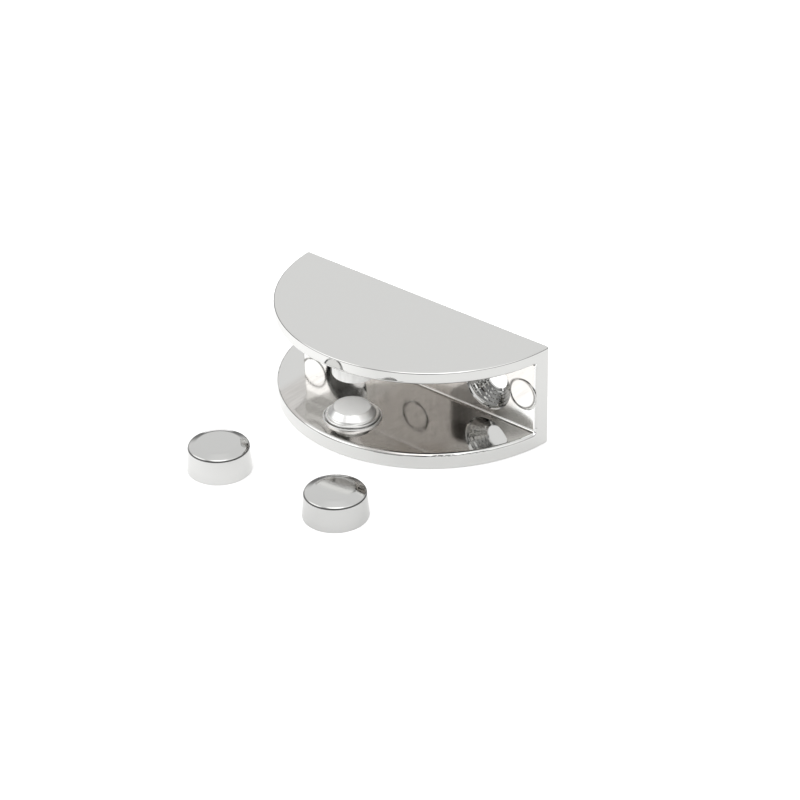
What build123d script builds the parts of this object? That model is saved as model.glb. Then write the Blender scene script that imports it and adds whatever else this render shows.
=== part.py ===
from build123d import *

import os

# Half-round glass shelf clip: one plated casting with two plates, a wall between them and a
# boss under the upper plate, a clamp screw and its pad in the lower plate, and two hollow
# caps standing loose in front.
# Millimetres. X runs along the wall, -Y points into the room and +Z is up.
# The origin is on the face that meets the wall, midway between the two screw holes.

# Casting
clip_length = 70.0
clip_reach = 33.1
clip_height = 24.1
top_plate = 3.0
bottom_plate = 3.75
wall = 3.8
inside_fillet = 0.6
wall_end_round = 1.0
top_edge_round = 0.4
edge_round = 0.35
lip_round = 0.8
corner_round = 0.5

# Wall screw holes: a plain mouth, a ridged cone and a short straight land at the wall
screw_hole_spacing = 42.0
screw_hole_rise = 7.75
screw_hole_d = 5.7
screw_hole_land = 0.4
countersink_d = 12.3
countersink_mouth = 0.8
countersink_lip = 0.2
ridge_count = 5
ridge_depth = 0.25

# Round marks that the mould's pins leave on the inside of the wall, each a fine ring groove
mark_d = 7.2
mark_spacing = 31.0
mark_width = 0.45
mark_depth = 0.25

# Boss under the upper plate, which the glass bears against
boss_d = 10.0
boss_drop = 5.5
boss_round = 0.4

# Clamp screw: a short threaded plug, turned from below with a hexagon key
clamp_reach = 24.0
thread_d = 8.0
thread_clearance = 0.06
screw_sink = 0.2
screw_chamfer = 0.5
key_across_flats = 4.0
key_depth = 1.9
hole_chamfer = 0.4

# Pin on the screw's upper end, loose in the pad's socket, so the pad can float sideways
pin_d = 3.0
pin_length = 1.4
pin_round = 0.3
socket_d = 6.4
socket_depth = 1.5
pad_float = (-1.3, 0.3)

# Clamp pad: a thin rimmed base on the lower plate, a step, and a bevelled button
pad_base_d = 13.2
pad_base_height = 0.45
pad_base_round = 0.15
pad_groove_d = 12.6
pad_groove_depth = 0.25
pad_step_d = 12.1
pad_step_height = 1.0
pad_step_round = 0.3
pad_button_d = 10.7
pad_height = 2.75
pad_flat_d = 8.5
pad_bevel = 1.35
pad_bevel_round = 0.3

# Soft face let into the top of the pad
face_d = 8.3
face_depth = 0.7
face_clearance = 0.03

# Hollow caps
cap_top_d = 13.5
cap_rim_d = 14.36
cap_side = 5.9
cap_dome = 0.4
cap_edge_round = 0.7
cap_rim_round = 0.15
cap_crown = 0.7
cap_wall = 1.3

# Places of the two loose caps, from the wall face and the clip's middle
left_cap_place = (-13.5, -53.5)
right_cap_place = (18.3, -51.4)

# How far the cutting tools run past a face
overrun = 1.0

# Levels and sizes that follow from the values above
base_z = -(bottom_plate + screw_hole_rise)
floor_z = base_z + bottom_plate
ceiling_z = base_z + clip_height - top_plate
slot_height = ceiling_z - floor_z
cap_bore_d = cap_top_d - 2 * cap_wall
cap_bore_depth = cap_side - cap_crown
upright = (Align.CENTER, Align.CENTER, Align.MIN)


def half_round(height):
    """A segment of a disc: straight along the wall, one arc in front."""
    half = clip_length / 2
    wall_edge = Line((-half, 0), (half, 0))
    front_edge = ThreePointArc((half, 0), (0, -clip_reach), (-half, 0))
    return extrude(make_face([wall_edge, front_edge]), amount=height)


def ridged_countersink():
    """Tool for one screw hole, its mouth along +Z and the wall face at Z = 0."""
    land_r = screw_hole_d / 2
    mouth_r = countersink_d / 2
    rise = (wall - countersink_mouth - screw_hole_land) / ridge_count
    run = (mouth_r - land_r) / ridge_count
    outline = [(0, -overrun), (land_r, -overrun), (land_r, screw_hole_land)]
    for index in range(ridge_count):
        low = screw_hole_land + index * rise
        radius = land_r + index * run
        outline.append((radius + run * 0.4 + ridge_depth, low + rise * 0.4))
        outline.append((radius + run, low + rise))
    outline.append((mouth_r, wall - countersink_lip))
    outline.append((mouth_r + countersink_lip, wall))
    outline.append((mouth_r + countersink_lip, wall + overrun))
    outline.append((0, wall + overrun))
    section = Plane.XZ * make_face(Polyline(*outline, close=True))
    return revolve(section, Axis.Z)


def cap():
    """One hollow cap standing on its open rim: flared side, rounded edge and low dome."""
    top_r = cap_top_d / 2
    dome_r = (top_r**2 + cap_dome**2) / (2 * cap_dome)
    half_way = (top_r / 2, cap_side + cap_dome - dome_r + (dome_r**2 - (top_r / 2) ** 2) ** 0.5)
    side = Polyline((0, cap_side + cap_dome), (0, 0), (cap_rim_d / 2, 0), (top_r, cap_side))
    crown = ThreePointArc((top_r, cap_side), half_way, (0, cap_side + cap_dome))
    section = make_face([side, crown])
    edge = section.vertices().sort_by(lambda corner: abs(corner.X - top_r) + abs(corner.Y - cap_side))[0]
    section = fillet(edge, cap_edge_round)
    bore = Rectangle(cap_bore_d / 2, cap_bore_depth, align=(Align.MIN, Align.MIN))
    section -= bore
    section = fillet(section.vertices().group_by(Axis.Y)[0], cap_rim_round)
    return revolve(Plane.XZ * section, Axis.Z)


def outside_edges(solid):
    """The two long edges that run round the outside of the casting, top and bottom."""
    top = solid.edges().group_by(Axis.Z)[-1]
    bottom = solid.edges().group_by(Axis.Z)[0]
    return top, bottom


def tube(outer_d, inner_d, height):
    """A plain ring standing on Z = 0."""
    outside = Cylinder(outer_d / 2, height, align=upright)
    return outside - Cylinder(inner_d / 2, height, align=upright)


def wall_end_flare(height):
    """Tool that rounds the upright edge at one end of the wall, blended above and below."""
    front_r = (clip_reach**2 + (clip_length / 2) ** 2) / (2 * clip_reach)
    middle_y = front_r - clip_reach
    centre_y = wall_end_round - wall
    centre_x = ((front_r - wall_end_round) ** 2 - (middle_y - centre_y) ** 2) ** 0.5
    centre = Vector(centre_x, centre_y)
    start = Vector(centre_x, -wall)
    half_way = centre + Vector(0, -wall_end_round).rotate(Axis.Z, 40)
    end = centre + Vector(0, -wall_end_round).rotate(Axis.Z, 80)
    far_x = clip_length
    corner = end + Vector(2 * wall_end_round, 0).rotate(Axis.Z, 80)
    round_line = ThreePointArc(start, half_way, end)
    outside = Polyline(end, corner, (far_x, corner.Y), (far_x, -clip_reach), (centre_x, -clip_reach), start)
    tool = extrude(make_face([round_line, outside]), amount=height)
    rims = tool.edges().filter_by(Axis.Z, reverse=True)
    rims = rims.filter_by(lambda edge: edge.center().X < corner.X and edge.center().Y > -wall)
    return fillet(rims, inside_fillet)


def make_clip_body():
    """The casting: two half-round plates, the wall, the boss, the holes and the marks."""
    body = Pos(0, 0, base_z) * half_round(clip_height)
    body = fillet(body.edges().filter_by(Axis.Z), corner_round)
    top, bottom = outside_edges(body)
    body = fillet(top, top_edge_round)
    top, bottom = outside_edges(body)
    body = fillet(bottom, edge_round)

    slot = Pos(0, -wall, floor_z) * Box(
        clip_length + 2 * overrun,
        clip_reach,
        slot_height,
        align=(Align.CENTER, Align.MAX, Align.MIN),
    )
    slot = fillet(slot.edges().filter_by(Axis.X).group_by(Axis.Y)[-1], inside_fillet)
    body -= slot

    lips = body.edges().filter_by(GeomType.CIRCLE)
    lips = lips.filter_by(lambda edge: edge.length > clip_length)
    lips = lips.filter_by(lambda edge: floor_z - 0.01 < edge.center().Z < ceiling_z + 0.01)
    body = fillet(lips, lip_round)

    flare = Pos(0, 0, floor_z + lip_round) * wall_end_flare(slot_height - 2 * lip_round)
    body -= flare
    body -= mirror(flare, about=Plane.YZ)

    hole = Rot(90, 0, 0) * ridged_countersink()
    for side in (-1, 1):
        body -= Pos(side * screw_hole_spacing / 2, 0, 0) * hole

    mark = Rot(90, 0, 0) * tube(mark_d + mark_width, mark_d - mark_width, 2 * mark_depth)
    mark_z = floor_z + slot_height / 2
    for place in (-mark_spacing, 0, mark_spacing):
        body -= Pos(place, mark_depth - wall, mark_z) * mark

    boss = Cylinder(boss_d / 2, boss_drop + top_plate / 2, align=upright)
    boss = fillet(boss.edges().filter_by(GeomType.CIRCLE).group_by(Axis.Z)[0], boss_round)
    body += Pos(0, -clamp_reach, ceiling_z - boss_drop) * boss

    thread_r = thread_d / 2 + thread_clearance
    tapped = Cylinder(thread_r, bottom_plate, align=upright)
    body -= Pos(0, -clamp_reach, base_z) * tapped
    tapped_edge = body.edges().filter_by(
        lambda edge: edge.geom_type == GeomType.CIRCLE and abs(edge.radius - thread_r) < 0.001
    )
    return chamfer(tapped_edge.group_by(Axis.Z)[0], hole_chamfer)


def make_clamp_screw():
    """The threaded plug with its pin above and its hexagon socket below."""
    shank_length = bottom_plate - screw_sink
    shank = Cylinder(thread_d / 2, shank_length, align=upright)
    shank = chamfer(shank.edges().filter_by(GeomType.CIRCLE).group_by(Axis.Z)[0], screw_chamfer)
    key = RegularPolygon(key_across_flats / 2, 6, major_radius=False)
    shank -= extrude(key, amount=key_depth)
    pin = Cylinder(pin_d / 2, pin_length, align=upright)
    pin = fillet(pin.edges().filter_by(GeomType.CIRCLE).group_by(Axis.Z)[-1], pin_round)
    shank += Pos(0, 0, shank_length) * pin
    return Pos(0, -clamp_reach, base_z + screw_sink) * shank


def rounded_disc(diameter, height, radius):
    """A disc standing on Z = 0 with its upper edge rounded."""
    disc = Cylinder(diameter / 2, height, align=upright)
    return fillet(disc.edges().filter_by(GeomType.CIRCLE).group_by(Axis.Z)[-1], radius)


def bevelled_button():
    """The pad's button: a low cylinder with a broad bevel round its flat top."""
    button_r = pad_button_d / 2
    bevel_z = pad_height - pad_bevel
    button = Cylinder(button_r, bevel_z, align=upright)
    button += Pos(0, 0, bevel_z) * Cone(button_r, pad_flat_d / 2, pad_bevel, align=upright)
    return fillet(button.edges().filter_by(GeomType.CIRCLE).group_by(Axis.Z)[1], pad_bevel_round)


def make_clamp_pad():
    """The pad, hollow below for the pin and above for its soft face."""
    pad = rounded_disc(pad_base_d, pad_base_height, pad_base_round)
    groove = tube(pad_groove_d, pad_step_d, pad_groove_depth)
    pad -= Pos(0, 0, pad_base_height - pad_groove_depth) * groove
    pad += rounded_disc(pad_step_d, pad_step_height, pad_step_round)
    pad += bevelled_button()
    pad -= Cylinder(socket_d / 2, socket_depth, align=upright)
    pad -= Pos(0, 0, pad_height - face_depth) * Cylinder(face_d / 2, face_depth, align=upright)
    return Pos(pad_float[0], pad_float[1] - clamp_reach, floor_z) * pad


def make_pad_face():
    """The soft disc in the top of the pad."""
    face = Cylinder(face_d / 2 - face_clearance, face_depth, align=upright)
    return Pos(pad_float[0], pad_float[1] - clamp_reach, floor_z + pad_height - face_depth) * face


def make_loose_cap(place):
    """A cap standing on its open rim on the surface that the clip stands on."""
    return Pos(place[0], place[1], base_z) * cap()


nodes = {
    "clip_body": make_clip_body(),
    "clamp_screw": make_clamp_screw(),
    "clamp_pad": make_clamp_pad(),
    "pad_face": make_pad_face(),
    "loose_cap_left": make_loose_cap(left_cap_place),
    "loose_cap_right": make_loose_cap(right_cap_place),
}

os.makedirs("parts", exist_ok=True)
for name, shape in nodes.items():
    export_step(shape, f"parts/{name}.step")
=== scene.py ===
"""Looks of the half-round glass shelf clip: plated surfaces, studio light and camera."""

import logging
import math
from dataclasses import dataclass, field
from enum import Enum

import bpy
from mathutils import Matrix, Vector

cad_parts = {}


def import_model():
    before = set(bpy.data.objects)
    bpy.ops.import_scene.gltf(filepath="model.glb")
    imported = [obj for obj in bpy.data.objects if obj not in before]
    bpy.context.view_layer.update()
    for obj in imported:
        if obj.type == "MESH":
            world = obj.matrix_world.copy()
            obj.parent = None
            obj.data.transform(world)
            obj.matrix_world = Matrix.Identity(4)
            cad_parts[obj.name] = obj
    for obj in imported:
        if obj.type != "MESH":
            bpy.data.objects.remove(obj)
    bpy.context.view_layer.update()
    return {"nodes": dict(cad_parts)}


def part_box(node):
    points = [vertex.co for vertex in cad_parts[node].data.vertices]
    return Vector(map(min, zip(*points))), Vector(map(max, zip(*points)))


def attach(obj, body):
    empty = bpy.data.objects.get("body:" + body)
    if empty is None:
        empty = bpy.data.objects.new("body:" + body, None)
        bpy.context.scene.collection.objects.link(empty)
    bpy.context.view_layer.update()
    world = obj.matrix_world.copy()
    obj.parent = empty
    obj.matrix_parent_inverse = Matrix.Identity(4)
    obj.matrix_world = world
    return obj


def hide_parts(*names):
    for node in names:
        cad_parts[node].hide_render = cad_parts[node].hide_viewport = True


LOG = logging.getLogger("shelf_clip")
MM = 0.001
MERGE_TURNED = 1e-7
MERGE_COPY = 2e-7
BUMP_DISTANCE = 0.0001
WHITE = (1.0, 1.0, 1.0, 1.0)

Point = tuple[float, float]
Place = tuple[float, float, float]
Colour = tuple[float, float, float]
Box = tuple[Place, Place]
Socket = bpy.types.NodeSocket


class Slot(Enum):
    """Material slots of the record."""

    CASTING = "plated_casting"
    SCREW = "screw_steel"
    PAD = "plated_pad"
    FACE = "pad_face_plastic"
    CAP = "plated_cap"


def deselect_all() -> None:
    """Leaves object mode with nothing selected."""
    if bpy.context.object and bpy.context.object.mode != "OBJECT":
        bpy.ops.object.mode_set(mode="OBJECT")
    bpy.ops.object.select_all(action="DESELECT")


def make_active(piece: bpy.types.Object) -> None:
    """Selects one object alone.

    Args:
        piece: The object that the next operators act on.
    """
    deselect_all()
    piece.select_set(True)
    bpy.context.view_layer.objects.active = piece


def arc(centre: Point, radius: float, start: float, stop: float, steps: int) -> list[Point]:
    """Points along a circular arc of a turned outline.

    Args:
        centre: Arc centre as (radius, height) in millimetres.
        radius: Arc radius in millimetres.
        start: First angle in degrees, 0 pointing outwards and 90 up.
        stop: Last angle in degrees.
        steps: How many pieces the arc has.

    Returns:
        The points, both ends among them.
    """
    points = []
    for index in range(steps + 1):
        angle = math.radians(start + (stop - start) * index / steps)
        points.append((centre[0] + radius * math.cos(angle), centre[1] + radius * math.sin(angle)))
    return points


def line(start: Point, stop: Point, steps: int) -> list[Point]:
    """Points between two corners of a turned outline, the ends left out."""
    points = []
    for index in range(1, steps):
        part = index / steps
        points.append(tuple(first + (last - first) * part for first, last in zip(start, stop)))
    return points


@dataclass
class TurnedPiece:
    """A piece of revolution drawn out ring by ring from a small disc on its axis."""

    name: str
    axis: Point
    base: float
    segments: int = 128
    smooth_angle: float = 32.0
    pole_r: float = 0.05

    def outline(self) -> list[Point]:
        """Returns the outline as (radius, height) in millimetres, from the axis outwards."""
        raise NotImplementedError

    def build(self) -> bpy.types.Object:
        """Models the piece in its place.

        Returns:
            The new mesh object, at the origin with its place in its mesh.
        """
        points = self.outline()
        radius, height = points[0]
        centre = Vector((self.axis[0], self.axis[1], self.base)) * MM
        deselect_all()
        bpy.ops.mesh.primitive_circle_add(
            vertices=self.segments,
            radius=radius * MM,
            fill_type="TRIFAN",
            location=centre + Vector((0, 0, height * MM)),
        )
        piece = bpy.context.object
        piece.name = self.name
        piece.data.name = self.name
        bpy.ops.object.transform_apply(location=True, rotation=True, scale=True)
        bpy.ops.object.mode_set(mode="EDIT")
        bpy.ops.mesh.select_mode(type="VERT")
        bpy.ops.mesh.select_all(action="DESELECT")
        bpy.ops.mesh.select_non_manifold()
        for next_radius, next_height in points[1:]:
            lift = (next_height - height) * MM
            growth = next_radius / radius
            bpy.ops.mesh.extrude_region_move(TRANSFORM_OT_translate={"value": (0, 0, lift)})
            bpy.ops.transform.resize(value=(growth, growth, 1), center_override=centre)
            radius, height = next_radius, next_height
        bpy.ops.mesh.merge(type="CENTER")
        bpy.ops.mesh.select_all(action="SELECT")
        bpy.ops.mesh.remove_doubles(threshold=MERGE_TURNED)
        bpy.ops.mesh.normals_make_consistent(inside=False)
        bpy.ops.object.mode_set(mode="OBJECT")
        bpy.ops.object.shade_smooth_by_angle(angle=math.radians(self.smooth_angle))
        return piece


@dataclass
class Cap(TurnedPiece):
    """A hollow cap: flared side and a nearly level crown that falls to a tight round edge."""

    pole_r: float = 0.03
    roof_pole_r: float = 0.02
    rim_d: float = 14.36
    top_d: float = 13.5
    side: float = 5.9
    height: float = 6.74
    crown_steps: int = 26
    crown_slope: float = 1.6
    fall_slope: float = 18.0
    fall_start_r: float = 4.0
    fall_full_r: float = 5.3
    edge_round: float = 0.65
    rim_round: float = 0.15
    bore_d: float = 10.9
    bore_depth: float = 5.2

    def crown(self, reach: float) -> list[Point]:
        """The top's outline from its middle to where the edge's rounding takes over.

        Args:
            reach: Radius at which it ends.

        Returns:
            Points of radius and height.
        """
        points = [(self.pole_r, self.height)]
        for index in range(self.crown_steps):
            radius = reach * (index + 1) / self.crown_steps
            part = (radius - self.fall_start_r) / (self.fall_full_r - self.fall_start_r)
            part = min(max(part, 0.0), 1.0)
            eased = part * part * (3 - 2 * part)
            slope = self.crown_slope * radius / reach + self.fall_slope * eased
            drop = math.tan(math.radians(slope)) * reach / self.crown_steps
            points.append((radius, points[-1][1] - drop))
        return points

    def outline(self) -> list[Point]:
        """Returns the cap's outline from the middle of its crown round to its hollow."""
        top_r = self.top_d / 2
        rim_r = self.rim_d / 2
        bore_r = self.bore_d / 2
        edge = self.edge_round
        lean = math.atan2(rim_r - top_r, self.side)
        steep = math.radians(self.crown_slope + self.fall_slope)
        points = self.crown(top_r - edge * (math.cos(lean) - math.sin(steep)))
        last = points[-1]
        middle = (last[0] - edge * math.sin(steep), last[1] - edge * math.cos(steep))
        points += arc(middle, edge, 90 - math.degrees(steep), math.degrees(lean), steps=8)[1:]
        foot = (rim_r - (rim_r - top_r) * self.rim_round / self.side, self.rim_round)
        points += line(points[-1], foot, steps=6)
        points += arc((foot[0] - self.rim_round, self.rim_round), self.rim_round, 0, -90, steps=4)
        points += arc((bore_r + self.rim_round, self.rim_round), self.rim_round, 270, 180, steps=4)
        points += line((bore_r, self.rim_round), (bore_r, self.bore_depth), steps=3)
        points.append((bore_r, self.bore_depth))
        points.append((self.roof_pole_r, self.bore_depth))
        return points


@dataclass
class Pad(TurnedPiece):
    """The clamp pad: a thin rimmed base, a step and a bevelled button, hollow both ways."""

    base_d: float = 13.2
    base_height: float = 0.45
    base_round: float = 0.15
    groove_d: float = 12.6
    groove_depth: float = 0.25
    step_d: float = 12.1
    step_height: float = 1.0
    step_round: float = 0.3
    button_d: float = 10.7
    height: float = 2.75
    flat_d: float = 8.5
    bevel: float = 1.35
    bevel_round: float = 0.3
    face_d: float = 8.3
    face_depth: float = 0.7
    socket_d: float = 6.4
    socket_depth: float = 1.5

    def outline(self) -> list[Point]:
        """Returns the pad's outline from the middle of its face's seat round to its socket."""
        seat = self.height - self.face_depth
        groove = self.base_height - self.groove_depth
        slope = math.atan2((self.button_d - self.flat_d) / 2, self.bevel)
        turn = self.bevel_round * math.tan(slope / 2)
        shoulder = (self.button_d / 2 - self.bevel_round, self.height - self.bevel - turn)
        step = (self.step_d / 2 - self.step_round, self.step_height - self.step_round)
        rim = (self.base_d / 2 - self.base_round, self.base_height - self.base_round)
        points = [(self.pole_r, seat), (self.face_d / 2, seat), (self.face_d / 2, self.height)]
        points.append((self.flat_d / 2, self.height))
        points += arc(shoulder, self.bevel_round, math.degrees(slope), 0, steps=6)
        points.append((self.button_d / 2, self.step_height))
        points += arc(step, self.step_round, 90, 0, steps=6)
        points += [(self.step_d / 2, groove), (self.groove_d / 2, groove)]
        points.append((self.groove_d / 2, self.base_height))
        points += arc(rim, self.base_round, 90, 0, steps=4)
        points += [(self.base_d / 2, 0.0), (self.socket_d / 2, 0.0)]
        points += [(self.socket_d / 2, self.socket_depth), (self.pole_r, self.socket_depth)]
        return points


@dataclass
class Disc(TurnedPiece):
    """A plain disc with fine rounds at its upper and lower edge."""

    diameter: float = 8.24
    height: float = 0.7
    edge_round: float = 0.06
    inner_ring_r: float = 2.0

    def outline(self) -> list[Point]:
        """Returns the disc's outline from the middle of its top round to its underside."""
        inner = self.diameter / 2 - self.edge_round
        points = [(self.pole_r, self.height), (self.inner_ring_r, self.height)]
        points += arc((inner, self.height - self.edge_round), self.edge_round, 90, 0, steps=4)
        points += arc((inner, self.edge_round), self.edge_round, 0, -90, steps=4)
        points.append((self.pole_r, 0.0))
        return points


@dataclass
class SmoothedCopy:
    """A merged copy of a CAD node, shaded smooth with normals that favour its large faces."""

    node: str
    name: str
    smooth_angle: float = 33.0
    face_weight: int = 50

    def build(self, nodes: dict[str, bpy.types.Object]) -> bpy.types.Object:
        """Copies and merges the node's mesh.

        Args:
            nodes: The frame's CAD objects by name.

        Returns:
            The copy, which stands for the node.
        """
        source = nodes[self.node]
        mesh = source.data.copy()
        piece = bpy.data.objects.new(self.name, mesh)
        mesh.name = self.name
        bpy.context.scene.collection.objects.link(piece)
        make_active(piece)
        if mesh.has_custom_normals:
            bpy.ops.mesh.customdata_custom_splitnormals_clear()
        bpy.ops.object.mode_set(mode="EDIT")
        bpy.ops.mesh.select_all(action="SELECT")
        bpy.ops.mesh.remove_doubles(threshold=MERGE_COPY)
        bpy.ops.object.mode_set(mode="OBJECT")
        bpy.ops.object.shade_smooth_by_angle(angle=math.radians(self.smooth_angle))
        weighted = piece.modifiers.new("flat_faces_first", "WEIGHTED_NORMAL")
        weighted.mode = "FACE_AREA"
        weighted.weight = self.face_weight
        weighted.keep_sharp = True
        bpy.ops.object.modifier_apply(modifier=weighted.name)
        return piece


class NodeBuilder:
    """Adds nodes to a tree and returns their sockets."""

    def __init__(self, tree: bpy.types.NodeTree) -> None:
        """Keeps the tree that the nodes go into."""
        self.tree = tree

    def math(self, kind: str, *values: Socket | float) -> Socket:
        """Adds a math node over sockets or numbers and returns its value."""
        node = self.tree.nodes.new("ShaderNodeMath")
        node.operation = kind
        for index, value in enumerate(values):
            if isinstance(value, (int, float)):
                node.inputs[index].default_value = value
            else:
                self.tree.links.new(value, node.inputs[index])
        return node.outputs["Value"]

    def product(self, *values: Socket | float) -> Socket:
        """Adds the product of two or more sockets or numbers and returns it."""
        result = values[0]
        for value in values[1:]:
            result = self.math("MULTIPLY", result, value)
        return result

    def ramp(self, value: Socket, low: float, high: float, kind: str = "LINEAR") -> Socket:
        """Adds a clamped change of range to 0..1.

        Args:
            value: The socket to read.
            low: Its value at 0.
            high: Its value at 1.
            kind: The interpolation.

        Returns:
            The changed value's socket.
        """
        node = self.tree.nodes.new("ShaderNodeMapRange")
        node.interpolation_type = kind
        node.inputs["From Min"].default_value = low
        node.inputs["From Max"].default_value = high
        self.tree.links.new(value, node.inputs["Value"])
        return node.outputs["Result"]

    def colour(self, tone: Colour) -> Socket:
        """Adds a plain colour and returns its socket."""
        socket = self.tree.nodes.new("ShaderNodeRGB").outputs["Color"]
        socket.default_value = (*tone, 1.0)
        return socket

    def blend(self, factor: Socket, first: Socket, second: Socket) -> Socket:
        """Adds a mix of two colours and returns its colour."""
        node = self.tree.nodes.new("ShaderNodeMix")
        node.data_type = "RGBA"
        inputs = [socket for socket in node.inputs if socket.enabled]
        for socket, value in zip(inputs, (factor, first, second)):
            self.tree.links.new(value, socket)
        return [socket for socket in node.outputs if socket.enabled][0]

    def mix_shaders(self, factor: Socket, first: Socket, second: Socket) -> Socket:
        """Adds a mix of two shaders and returns it."""
        node = self.tree.nodes.new("ShaderNodeMixShader")
        for index, value in enumerate((factor, first, second)):
            self.tree.links.new(value, node.inputs[index])
        return node.outputs["Shader"]


@dataclass(frozen=True)
class Grain:
    """A noise of the surface, its scale in cells to the metre."""

    scale: float
    detail: float
    stretch: Place | None = None


class PlatedSurface(NodeBuilder):
    """Node group of what plated metal shows: haze, soft waves, peel, pits and polish marks, and of
    the painted reflections and painted shade that its place masks call for.
    """

    name = "plated_surface"
    inputs = (
        ("Tint", "NodeSocketColor", (0.64, 0.64, 0.63, 1.0)),
        ("Roughness", "NodeSocketFloat", 0.04),
        ("Haze", "NodeSocketFloat", 0.03),
        ("Waves", "NodeSocketFloat", 0.2),
        ("Peel", "NodeSocketFloat", 0.1),
        ("Pits", "NodeSocketFloat", 0.5),
        ("Inside", "NodeSocketFloat", 0.0),
        ("Warm", "NodeSocketFloat", 0.0),
        ("Warm Reflection Tint", "NodeSocketColor", (0.60, 0.583, 0.5625, 1.0)),
        ("Brushed", "NodeSocketFloat", 0.0),
        ("Painted Groove Shade", "NodeSocketFloat", 0.0),
        ("Painted Bright Reflection", "NodeSocketFloat", 0.0),
        ("Painted Dark Reflection", "NodeSocketFloat", 0.0),
    )
    outputs = (
        ("Color", "NodeSocketColor"),
        ("Roughness", "NodeSocketFloat"),
        ("Metallic", "NodeSocketFloat"),
        ("Height", "NodeSocketFloat"),
    )
    grains = {
        "waves": Grain(90.0, 2.0),
        "peel": Grain(900.0, 3.0),
        "haze": Grain(260.0, 5.0),
        "fine": Grain(5200.0, 2.0),
        "streaks": Grain(1400.0, 4.0, (1.0, 0.12, 0.12)),
        "turned": Grain(2600.0, 3.0, (0.15, 0.15, 1.0)),
    }
    pit_scale = 420.0
    pit_size = 0.13
    pit_core = 0.3
    pit_share = (0.9, 1.0)
    pit_depth = 0.35
    pit_roughness = 0.25
    pit_darkness = 0.8
    streak_height = 0.06
    streak_range = (0.35, 0.7)
    streak_darkness = 0.14
    turned_height = 0.3
    fine_roughness = 0.008
    roughening = (
        ("Inside", 0.005),
        ("Warm", 0.02),
        ("Brushed", 0.42),
        ("Painted Groove Shade", 0.2),
        ("Painted Dark Reflection", 0.25),
    )
    place_tints = (
        # lighter tint at the wall ends: a painted bright reflection
        ("Painted Bright Reflection", (0.95, 0.95, 0.945)),
        ("Brushed", (0.93, 0.93, 0.915)),
        # near-black tint: a painted dark reflection in the left screw hole and round the caps' top
        # edges
        ("Painted Dark Reflection", (0.08, 0.08, 0.078)),
    )
    groove_shade_range = (0.36, 0.56)
    groove_shade_darkness = 0.9
    dark_tint = (0.16, 0.15, 0.14)
    brushed_metal_loss = 0.85

    def __init__(self) -> None:
        """Builds the group once."""
        super().__init__(bpy.data.node_groups.new(self.name, "ShaderNodeTree"))
        for label, kind, value in self.inputs:
            socket = self.tree.interface.new_socket(name=label, in_out="INPUT", socket_type=kind)
            socket.default_value = value
        for label, kind in self.outputs:
            self.tree.interface.new_socket(name=label, in_out="OUTPUT", socket_type=kind)
        self.given = self.tree.nodes.new("NodeGroupInput").outputs
        result = self.tree.nodes.new("NodeGroupOutput").inputs
        place = self.tree.nodes.new("ShaderNodeTexCoord").outputs["Object"]
        self.noises = {name: self.noise(place, grain) for name, grain in self.grains.items()}
        self.inner = self.math("ADD", 1.0, self.given["Inside"])
        self.pit_amount = self.product(self.pits(place), self.given["Inside"], self.given["Pits"])
        metal_loss = self.product(self.given["Brushed"], self.brushed_metal_loss)
        self.tree.links.new(self.colouring(), result["Color"])
        self.tree.links.new(self.roughness(), result["Roughness"])
        self.tree.links.new(self.math("SUBTRACT", 1.0, metal_loss), result["Metallic"])
        self.tree.links.new(self.relief(), result["Height"])

    def noise(self, place: Socket, grain: Grain) -> Socket:
        """Adds a noise texture.

        Args:
            place: Coordinates to read.
            grain: How fine the noise is and how it is stretched.

        Returns:
            Its value.
        """
        if grain.stretch:
            stretched = self.tree.nodes.new("ShaderNodeVectorMath")
            stretched.operation = "MULTIPLY"
            self.tree.links.new(place, stretched.inputs[0])
            stretched.inputs[1].default_value = grain.stretch
            place = stretched.outputs["Vector"]
        node = self.tree.nodes.new("ShaderNodeTexNoise")
        node.inputs["Scale"].default_value = grain.scale
        node.inputs["Detail"].default_value = grain.detail
        self.tree.links.new(place, node.inputs["Vector"])
        return node.outputs["Fac"]

    def pits(self, place: Socket) -> Socket:
        """Adds scattered round specks.

        Args:
            place: Coordinates to read.

        Returns:
            A mask, 1 in the middle of a speck.
        """
        cells = self.tree.nodes.new("ShaderNodeTexVoronoi")
        cells.inputs["Scale"].default_value = self.pit_scale
        self.tree.links.new(place, cells.inputs["Vector"])
        chance = self.tree.nodes.new("ShaderNodeSeparateColor")
        self.tree.links.new(cells.outputs["Color"], chance.inputs["Color"])
        picked = self.ramp(chance.outputs["Red"], *self.pit_share)
        core = self.pit_size * self.pit_core
        return self.product(picked, self.ramp(cells.outputs["Distance"], self.pit_size, core))

    def relief(self) -> Socket:
        """Adds the height of waves, peel, pits, streaks and turning marks and returns it."""
        given, noises = self.given, self.noises
        waves = self.product(noises["waves"], given["Waves"], self.inner)
        peel = self.product(noises["peel"], given["Peel"], self.inner)
        depth = self.product(self.pit_amount, self.pit_depth)
        height = self.math("SUBTRACT", self.math("ADD", waves, peel), depth)
        streaks = self.product(noises["streaks"], given["Warm"], self.streak_height)
        turned = self.product(noises["turned"], given["Brushed"], self.turned_height)
        return self.math("ADD", self.math("ADD", height, streaks), turned)

    def roughness(self) -> Socket:
        """Adds the roughness of the finish, its haze, its pits and its places and returns it."""
        haze = self.product(self.noises["haze"], self.given["Haze"], self.inner)
        fine = self.product(self.noises["fine"], self.fine_roughness)
        rough = self.math("ADD", self.given["Roughness"], self.math("ADD", haze, fine))
        rough = self.math("ADD", rough, self.product(self.pit_amount, self.pit_roughness))
        for label, amount in self.roughening:
            rough = self.math("ADD", rough, self.product(self.given[label], amount))
        return rough

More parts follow.
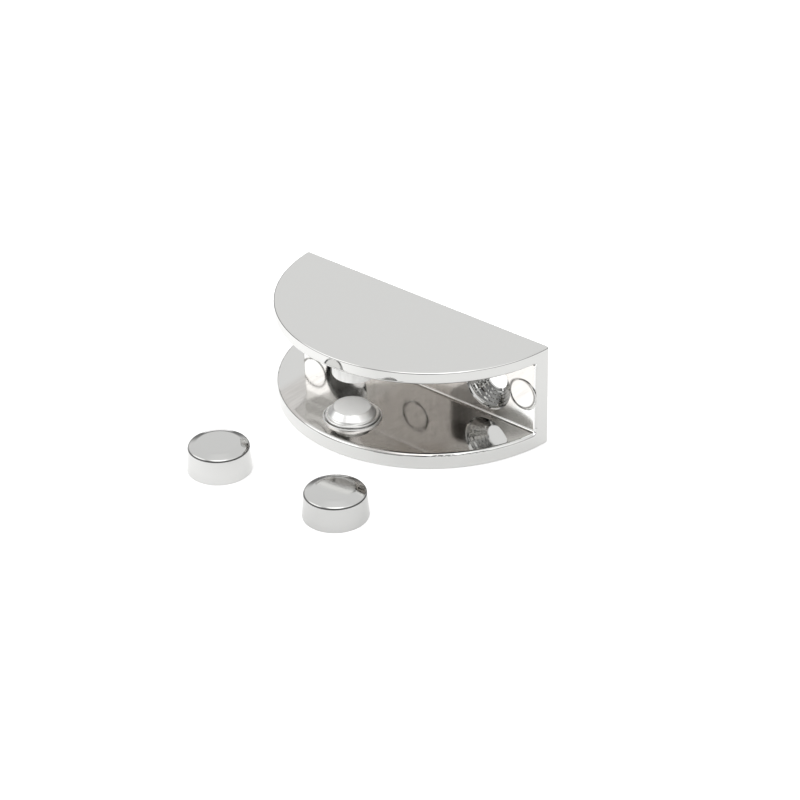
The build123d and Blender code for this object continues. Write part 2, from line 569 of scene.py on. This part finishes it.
    def colouring(self) -> Socket:
        """Adds the tint with its places, darkened by pits, streaks and painted shade in grooves,
        and returns it.
        """
        given = self.given
        # warmer tint in the slot's middle: a painted reflection
        tint = self.blend(given["Warm"], given["Tint"], given["Warm Reflection Tint"])
        for label, tone in self.place_tints:
            tint = self.blend(given[label], tint, self.colour(tone))
        streaks = self.product(self.ramp(self.noises["streaks"], *self.streak_range), given["Warm"])
        # patchy dark rings in grooves: painted shade
        groove_shades = self.product(given["Painted Groove Shade"], self.ramp(self.noises["haze"], *self.groove_shade_range))
        dark = self.math(
            "MAXIMUM",
            self.product(self.pit_amount, self.pit_darkness),
            self.product(streaks, self.streak_darkness),
        )
        dark = self.math("MAXIMUM", dark, self.product(groove_shades, self.groove_shade_darkness))
        return self.blend(dark, tint, self.colour(self.dark_tint))


class Facing(Enum):
    """The axis that a flat mark faces along."""

    Y = 1
    Z = 2


@dataclass(frozen=True)
class RingMark:
    """A soft painted dark ring on a surface, in millimetres: painted shade in a groove, painted
    dark reflection along an edge.
    """

    centre: Place
    facing: Facing
    radius: float
    width: float
    depth: float = 0.4


@dataclass(frozen=True)
class Boss:
    """The satin boss: its upright axis, its radius and its levels in millimetres."""

    axis: Point
    radius: float
    levels: tuple[float, float]


class Masks(NodeBuilder):
    """Masks of places on an object, in its own coordinates, given in millimetres."""

    hard_edge = 0.01
    column_edge = 0.02
    ring_edge = 0.1

    def __init__(self, tree: bpy.types.NodeTree) -> None:
        """Adds the coordinates to a material's node tree."""
        super().__init__(tree)
        place = tree.nodes.new("ShaderNodeTexCoord").outputs["Object"]
        parts = tree.nodes.new("ShaderNodeSeparateXYZ")
        tree.links.new(place, parts.inputs["Vector"])
        self.axes = [parts.outputs[axis] for axis in "XYZ"]

    def fade(self, value: Socket, start: float, stop: float) -> Socket:
        """Adds a clamped ramp, 0 at the start and 1 at the stop, both in millimetres."""
        return self.ramp(value, start * MM, stop * MM)

    def off(self, value: Socket, level: float) -> Socket:
        """Adds how far a value is off a level, both in metres, and returns it."""
        return self.math("ABSOLUTE", self.math("SUBTRACT", value, level))

    def box(self, corners: Box, soft: float = 0.0) -> Socket:
        """Adds a mask of what lies in a box.

        Args:
            corners: The box's lowest and highest corner.
            soft: Width of the fade outside its ends along X.

        Returns:
            The mask, 1 inside the box.
        """
        sides = []
        for index, (start, stop) in enumerate(zip(*corners)):
            gap = self.off(self.axes[index], (start + stop) / 2 * MM)
            half = (stop - start) / 2
            edge = soft if index == 0 and soft else self.hard_edge
            sides.append(self.fade(gap, half + edge, half))
        return self.product(*sides)

    def distance(self, axis: Point, flat: tuple[int, int] = (0, 1)) -> Socket:
        """Adds the distance from an axis, upright unless two other directions are given."""
        away = [
            self.math("SUBTRACT", self.axes[index], value * MM) for index, value in zip(flat, axis)
        ]
        squares = [self.math("POWER", value, 2.0) for value in away]
        return self.math("SQRT", self.math("ADD", *squares))

    def column(self, boss: Boss) -> Socket:
        """Adds a mask of what lies round an upright axis between two levels."""
        low, high = boss.levels
        near = self.fade(self.distance(boss.axis), boss.radius + self.column_edge, boss.radius)
        above = self.fade(self.axes[2], low - self.hard_edge, low)
        below = self.fade(self.axes[2], high, high - self.hard_edge)
        return self.product(above, near, below)

    def ring(self, mark: RingMark) -> Socket:
        """Adds a mask of a soft ring.

        Args:
            mark: Where the ring lies and how wide it is.

        Returns:
            The mask, 1 on the middle of the ring's line.
        """
        facing = mark.facing.value
        flat = tuple(index for index in range(3) if index != facing)
        distance = self.distance(tuple(mark.centre[index] for index in flat), flat)
        drawn = self.fade(self.off(distance, mark.radius * MM), mark.width, 0.0)
        depth = self.off(self.axes[facing], mark.centre[facing] * MM)
        return self.product(drawn, self.fade(depth, mark.depth + self.ring_edge, mark.depth))

    def highest(self, masks: list[Socket]) -> Socket:
        """Adds the largest of several masks."""
        largest = masks[0]
        for mask in masks[1:]:
            largest = self.math("MAXIMUM", largest, mask)
        return largest


@dataclass(frozen=True)
class Finish:
    """What every finish says about its surface."""

    name: str
    tint: Colour
    roughness: float
    haze: float
    waves: float
    peel: float
    pits: float
    bump: float

    def start(self, surface: PlatedSurface) -> tuple[bpy.types.Material, bpy.types.Node]:
        """Makes the material with the shared group and its bump.

        Args:
            surface: The shared node group.

        Returns:
            The material and the group's node in it.
        """
        material = bpy.data.materials.new(self.name)
        material.use_nodes = True
        tree = material.node_tree
        shader = tree.nodes["Principled BSDF"]
        group = tree.nodes.new("ShaderNodeGroup")
        group.node_tree = surface.tree
        group.inputs["Tint"].default_value = (*self.tint, 1.0)
        for label, value in (
            ("Roughness", self.roughness),
            ("Haze", self.haze),
            ("Waves", self.waves),
            ("Peel", self.peel),
            ("Pits", self.pits),
        ):
            group.inputs[label].default_value = value
        bump = tree.nodes.new("ShaderNodeBump")
        bump.inputs["Strength"].default_value = self.bump
        bump.inputs["Distance"].default_value = BUMP_DISTANCE
        tree.links.new(group.outputs["Height"], bump.inputs["Height"])
        tree.links.new(group.outputs["Color"], shader.inputs["Base Color"])
        tree.links.new(group.outputs["Roughness"], shader.inputs["Roughness"])
        tree.links.new(bump.outputs["Normal"], shader.inputs["Normal"])
        return material, group


@dataclass(frozen=True)
class PlatedFinish(Finish):
    """One plated or bright metal finish, with the places where it looks different, some of them
    painted reflections and painted shade.
    """

    bump: float = 0.12
    warm_reflection_tint: Colour = (0.60, 0.583, 0.5625)
    inside_box: Box | None = None
    warm_box: Box | None = None
    boss: Boss | None = None
    bright_reflection_boxes: tuple[Box, ...] = ()
    dark_reflection_box: Box | None = None
    dark_reflection_share: float = 0.72
    wide_fade: float = 3.0
    dark_reflection_fade: float = 0.6
    marks: tuple[RingMark, ...] = ()
    edges: tuple[RingMark, ...] = ()

    def build(self, surface: PlatedSurface) -> bpy.types.Material:
        """Makes the material.

        Args:
            surface: The shared node group.

        Returns:
            The material.
        """
        material, group = self.start(surface)
        tree = material.node_tree
        shader = tree.nodes["Principled BSDF"]
        tree.links.new(group.outputs["Metallic"], shader.inputs["Metallic"])
        group.inputs["Warm Reflection Tint"].default_value = (*self.warm_reflection_tint, 1.0)
        for label, mask in self.places(Masks(tree)).items():
            tree.links.new(mask, group.inputs[label])
        return material

    def places(self, masks: Masks) -> dict[str, Socket]:
        """Adds the masks of the finish's places.

        Args:
            masks: What adds masks to the material.

        Returns:
            The masks by the group's input that each one feeds.
        """
        found = {}
        if self.inside_box:
            found["Inside"] = masks.box(self.inside_box)
        if self.warm_box:
            found["Warm"] = masks.box(self.warm_box, self.wide_fade)
        if self.boss:
            found["Brushed"] = masks.column(self.boss)
        # lighter tint in boxes: a painted bright reflection
        if self.bright_reflection_boxes:
            boxes = [masks.box(corners, self.wide_fade) for corners in self.bright_reflection_boxes]
            found["Painted Bright Reflection"] = masks.highest(boxes)
        # near-black tint in a box: a painted dark reflection
        if self.dark_reflection_box:
            dark_reflection_mask = masks.box(self.dark_reflection_box, self.dark_reflection_fade)
            found["Painted Dark Reflection"] = masks.product(dark_reflection_mask, self.dark_reflection_share)
        # dark rings along edges: painted dark reflection
        if self.edges:
            found["Painted Dark Reflection"] = masks.highest([masks.ring(mark) for mark in self.edges])
        # dark rings in grooves: painted shade
        if self.marks:
            found["Painted Groove Shade"] = masks.highest([masks.ring(mark) for mark in self.marks])
        return found


@dataclass(frozen=True)
class PlasticFinish(Finish):
    """A satin plastic."""

    haze: float = 0.1
    waves: float = 0.1
    peel: float = 0.3
    pits: float = 0.05
    bump: float = 0.08

    def build(self, surface: PlatedSurface) -> bpy.types.Material:
        """Makes the material and returns it."""
        return self.start(surface)[0]


@dataclass(frozen=True)
class Zone:
    """A brighter or darker part of the light tent, seen from the object, angles in degrees."""

    direction: Place
    inner: float
    outer: float
    gain: float


@dataclass(frozen=True)
class Pool:
    """A glowing part of the floor that mirrors see brighter, a painted pool of light, in
    millimetres.
    """

    centre: Point
    inner: float
    outer: float
    gain: float


@dataclass(frozen=True)
class FarFloor:
    """The floor away from the object, which mirrors see dimmer, painted shade, in millimetres."""

    centre: Point
    near: float
    away: float
    tone: float


@dataclass(frozen=True)
class Shot:
    """The photograph's camera: angles in degrees, eye and lens in millimetres."""

    turn: float = 41.001
    rise: float = 30.832
    roll: float = -0.946
    eye: Place = (350.52, -412.29, 309.09)
    lens: float = 124.76
    sensor: float = 36.0
    clip_start: float = 0.01


@dataclass
class Studio:
    """A white light tent, a pale floor and the camera at the photograph's angle."""

    floor_z: float
    tent: float = 1.0
    horizon_low: float = 4.0
    horizon_high: float = 22.0
    horizon_tone: float = 0.25
    floor_size: float = 4.0
    floor_gap: float = 1e-5
    floor_tone: float = 0.9
    floor_glow: float = 0.27
    mirrored_glow: float = 0.11
    pool: Pool = Pool((-32.0, -45.0), inner=24.0, outer=52.0, gain=0.28)
    far_floor: FarFloor = FarFloor((0.0, -25.0), near=95.0, away=210.0, tone=0.12)
    shot: Shot = Shot()
    zones: list[Zone] = field(
        default_factory=lambda: [
            Zone((-0.563, -0.68, 0.47), inner=18.0, outer=28.0, gain=0.85),
            Zone((0.0, 0.0, 1.0), inner=14.0, outer=30.0, gain=0.1),
            Zone((0.12, -0.86, 0.49), inner=10.0, outer=22.0, gain=-0.35),
            Zone((0.53, -0.80, 0.27), inner=8.0, outer=16.0, gain=-0.35),
            Zone((0.56, -0.66, 0.42), inner=10.0, outer=17.0, gain=-0.75),
            Zone((0.84, -0.22, 0.50), inner=22.0, outer=40.0, gain=0.4),
            Zone((0.36, -0.42, 0.83), inner=15.0, outer=28.0, gain=1.3),
        ]
    )

    def light(self) -> None:
        """Builds the world: a tent with brighter and darker zones, and white for the camera.

        The tent darkens towards the horizon for mirrors only, so matt faces keep its light.
        """
        world = bpy.data.worlds.new("light_tent")
        bpy.context.scene.world = world
        world.use_nodes = True
        tree = world.node_tree
        tree.nodes.clear()
        nodes = NodeBuilder(tree)
        way = tree.nodes.new("ShaderNodeTexCoord").outputs["Generated"]
        total = self.tent
        for zone in self.zones:
            dot = tree.nodes.new("ShaderNodeVectorMath")
            dot.operation = "DOT_PRODUCT"
            tree.links.new(way, dot.inputs[0])
            dot.inputs[1].default_value = Vector(zone.direction).normalized()
            limits = [math.cos(math.radians(angle)) for angle in (zone.outer, zone.inner)]
            fade = nodes.ramp(dot.outputs["Value"], *limits, kind="SMOOTHSTEP")
            total = nodes.math("MULTIPLY_ADD", fade, zone.gain, total)
        parts = tree.nodes.new("ShaderNodeSeparateXYZ")
        tree.links.new(way, parts.inputs["Vector"])
        limits = [math.sin(math.radians(angle)) for angle in (self.horizon_low, self.horizon_high)]
        horizon = nodes.ramp(parts.outputs["Z"], *limits, kind="SMOOTHSTEP")
        horizon.node.inputs["To Min"].default_value = self.horizon_tone
        path = tree.nodes.new("ShaderNodeLightPath").outputs
        shown = nodes.math("MAXIMUM", horizon, path["Is Diffuse Ray"])
        tent = tree.nodes.new("ShaderNodeBackground")
        white = tree.nodes.new("ShaderNodeBackground")
        for background in (tent, white):
            background.inputs["Color"].default_value = WHITE
        tree.links.new(nodes.product(total, shown), tent.inputs["Strength"])
        seen = nodes.mix_shaders(
            path["Is Camera Ray"], tent.outputs["Background"], white.outputs["Background"]
        )
        out = tree.nodes.new("ShaderNodeOutputWorld")
        tree.links.new(seen, out.inputs["Surface"])

    def lay_floor(self) -> None:
        """Adds the pale floor, which isn't part of the object, with a painted pool of light and a
        painted dimmer far part that only mirrors see.
        """
        deselect_all()
        level = self.floor_z - self.floor_gap
        bpy.ops.mesh.primitive_plane_add(size=self.floor_size, location=(0, 0, level))
        floor = bpy.context.object
        floor.name = "floor"
        material = bpy.data.materials.new("pale_floor")
        material.use_nodes = True
        tree = material.node_tree
        shader = tree.nodes["Principled BSDF"]
        shader.inputs["Base Color"].default_value = (self.floor_tone,) * 3 + (1.0,)
        shader.inputs["Roughness"].default_value = 1.0
        shader.inputs["Specular IOR Level"].default_value = 0.0
        masks = Masks(tree)
        path = tree.nodes.new("ShaderNodeLightPath").outputs
        # painted pool of light, a glow that mirrors see
        spot = self.pool
        pool = masks.fade(masks.distance(spot.centre), spot.outer, spot.inner)
        mirrored = masks.math("ADD", masks.product(pool, spot.gain), self.mirrored_glow)
        mirrored = masks.product(mirrored, path["Is Glossy Ray"])
        seen = masks.product(path["Is Camera Ray"], self.floor_glow)
        glow = tree.nodes.new("ShaderNodeEmission")
        tree.links.new(masks.math("ADD", seen, mirrored), glow.inputs["Strength"])
        both = tree.nodes.new("ShaderNodeAddShader")
        tree.links.new(shader.outputs["BSDF"], both.inputs[0])
        tree.links.new(glow.outputs["Emission"], both.inputs[1])
        # far floor painted dimmer for mirrors
        rest = self.far_floor
        far = masks.fade(masks.distance(rest.centre), rest.near, rest.away)
        dim = tree.nodes.new("ShaderNodeEmission")
        dim.inputs["Strength"].default_value = rest.tone
        mixed = masks.mix_shaders(
            masks.product(far, path["Is Glossy Ray"]),
            both.outputs["Shader"],
            dim.outputs["Emission"],
        )
        tree.links.new(mixed, tree.nodes["Material Output"].inputs["Surface"])
        floor.data.materials.append(material)

    def place_camera(self) -> None:
        """Sets the camera that sees the object as the photograph does."""
        turn, rise, roll = (
            math.radians(angle) for angle in (self.shot.turn, self.shot.rise, self.shot.roll)
        )
        level = math.cos(rise)
        back = Vector((math.sin(turn) * level, -math.cos(turn) * level, math.sin(rise)))
        right = (-back).cross(Vector((0, 0, 1))).normalized()
        up = back.cross(right)
        side = math.cos(roll) * right + math.sin(roll) * up
        over = math.cos(roll) * up - math.sin(roll) * right
        data = bpy.data.cameras.new("camera")
        camera = bpy.data.objects.new("camera", data)
        bpy.context.scene.collection.objects.link(camera)
        columns = Matrix((side, over, back)).transposed()
        eye = Vector(self.shot.eye) * MM
        camera.matrix_world = Matrix.Translation(eye) @ columns.to_4x4()
        data.sensor_width = self.shot.sensor
        data.lens = self.shot.lens
        data.clip_start = self.shot.clip_start
        bpy.context.scene.camera = camera


@dataclass
class Looks:
    """The clip's finishes, each with the places that its marks need."""

    surface: PlatedSurface
    wall_face: float = -3.8
    mark_level: float = 0.925
    cap_edge_level: float = -5.87
    cap_edge_r: float = 6.72
    groove_rise: float = 0.2

    def casting(self) -> bpy.types.Material:
        """Returns the casting's finish; its places stand for what the photo's faces mirror."""
        # dark rings in the grooves round the wall's three marks: painted shade
        marks = ((-31.0, 3.6, 0.45), (0.0, 3.5, 0.7), (30.5, 3.45, 0.4))
        return PlatedFinish(
            name="plated_casting",
            tint=(0.640, 0.640, 0.628),
            roughness=0.02,
            haze=0.03,
            waves=0.35,
            peel=0.05,
            pits=0.6,
            inside_box=((-40.0, -32.0, -8.1), (40.0, -3.76, 9.7)),
            # a warmer tint in the slot's middle: a painted reflection; the same box streaks it
            warm_box=((-20.0, -32.0, -8.1), (22.0, -3.76, 9.7)),
            boss=Boss(axis=(0.0, -24.0), radius=5.05, levels=(4.0, 9.58)),
            # a lighter tint at both wall ends, a painted bright reflection
            bright_reflection_boxes=(
                ((-40.0, -4.3, -7.9), (-27.0, -3.7, 6.6)),
                ((27.0, -4.3, -7.9), (40.0, -3.7, 9.7)),
            ),
            # the left screw hole darkened: a painted dark reflection
            dark_reflection_box=((-27.3, -3.76, -6.3), (-20.4, -0.06, 6.3)),
            marks=tuple(
                RingMark((x, self.wall_face, self.mark_level), Facing.Y, radius, width)
                for x, radius, width in marks
            ),
        ).build(self.surface)

    def caps(self) -> bpy.types.Material:
        """Returns the finish that both caps share, with a painted dark reflection round each top
        edge.
        """
        axes = [foot_of(f"loose_cap_{side}")[0] for side in ("left", "right")]
        return PlatedFinish(
            name="plated_cap",
            tint=(0.565, 0.565, 0.556),
            roughness=0.06,
            haze=0.05,
            waves=0.3,
            peel=0.06,
            pits=0.2,
            edges=tuple(
                RingMark(
                    (*axis, self.cap_edge_level),
                    Facing.Z,
                    self.cap_edge_r,
                    width=0.4,
                    depth=0.13,
                )
                for axis in axes
            ),
        ).build(self.surface)

    def pad(self) -> bpy.types.Material:
        """Returns the pad's finish, with painted shade in the groove round its base."""
        axis, low = foot_of("clamp_pad")
        groove = (*axis, low + self.groove_rise)
        return PlatedFinish(
            name="plated_pad",
            tint=(0.84, 0.84, 0.83),
            roughness=0.25,
            haze=0.05,
            waves=0.3,
            peel=0.06,
            pits=0.2,
            # dark ring in the base groove: painted shade
            marks=(RingMark(groove, Facing.Z, radius=6.2, width=0.3, depth=0.2),),
        ).build(self.surface)

    def face(self) -> bpy.types.Material:
        """Returns the soft plastic of the pad's face."""
        plastic = PlasticFinish(name="pad_face_plastic", tint=(0.95, 0.95, 0.935), roughness=0.3)
        return plastic.build(self.surface)

    def screw(self) -> bpy.types.Material:
        """Returns the clamp screw's bright zinc."""
        return PlatedFinish(
            name="screw_steel",
            tint=(0.52, 0.52, 0.51),
            roughness=0.22,
            haze=0.12,
            waves=0.1,
            peel=0.3,
            pits=0.3,
            bump=0.2,
        ).build(self.surface)


def dress(
    piece: bpy.types.Object, material: bpy.types.Material, slot: Slot, body: str, *nodes: str
) -> None:
    """Gives a piece its finish and its place in the frame.

    Args:
        piece: The finished piece.
        material: Its finish.
        slot: The record's slot that the finish stands for; not used.
        body: The CAD body that it moves with.
        nodes: The CAD nodes that it stands for.
    """
    piece.data.materials.clear()
    piece.data.materials.append(material)
    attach(piece, body)
    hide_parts(*nodes)
    LOG.info("%s: %d faces on %s", piece.name, len(piece.data.polygons), body)


def foot_of(node: str) -> tuple[Point, float]:
    """Where an upright round node stands, in millimetres.

    Args:
        node: The CAD node's name.

    Returns:
        Its axis and its lowest level.
    """
    low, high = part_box(node)
    axis = ((low[0] + high[0]) / 2 / MM, (low[1] + high[1]) / 2 / MM)
    return axis, low[2] / MM


def main() -> None:
    """Builds the finishes, the pieces and the studio."""
    logging.basicConfig(level=logging.INFO, format="%(name)s %(message)s")
    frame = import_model()
    bpy.context.scene.view_settings.view_transform = "Standard"
    looks = Looks(PlatedSurface())

    casting = SmoothedCopy("clip_body", "casting").build(frame["nodes"])
    dress(casting, looks.casting(), Slot.CASTING, "clip", "clip_body")
    screw = SmoothedCopy("clamp_screw", "clamp_plug").build(frame["nodes"])
    dress(screw, looks.screw(), Slot.SCREW, "screw", "clamp_screw")

    pad = Pad("pressure_pad", *foot_of("clamp_pad")).build()
    dress(pad, looks.pad(), Slot.PAD, "pad", "clamp_pad")
    face = Disc("soft_face", *foot_of("pad_face")).build()
    dress(face, looks.face(), Slot.FACE, "pad", "pad_face")
    cap_chrome = looks.caps()
    for side in ("left", "right"):
        loose = Cap(f"spare_cap_{side}", *foot_of(f"loose_cap_{side}")).build()
        dress(loose, cap_chrome, Slot.CAP, "clip", f"loose_cap_{side}")

    studio = Studio(floor_z=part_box("clip_body")[0][2])
    studio.light()
    studio.lay_floor()
    studio.place_camera()


if __name__ == "__main__":
    main()
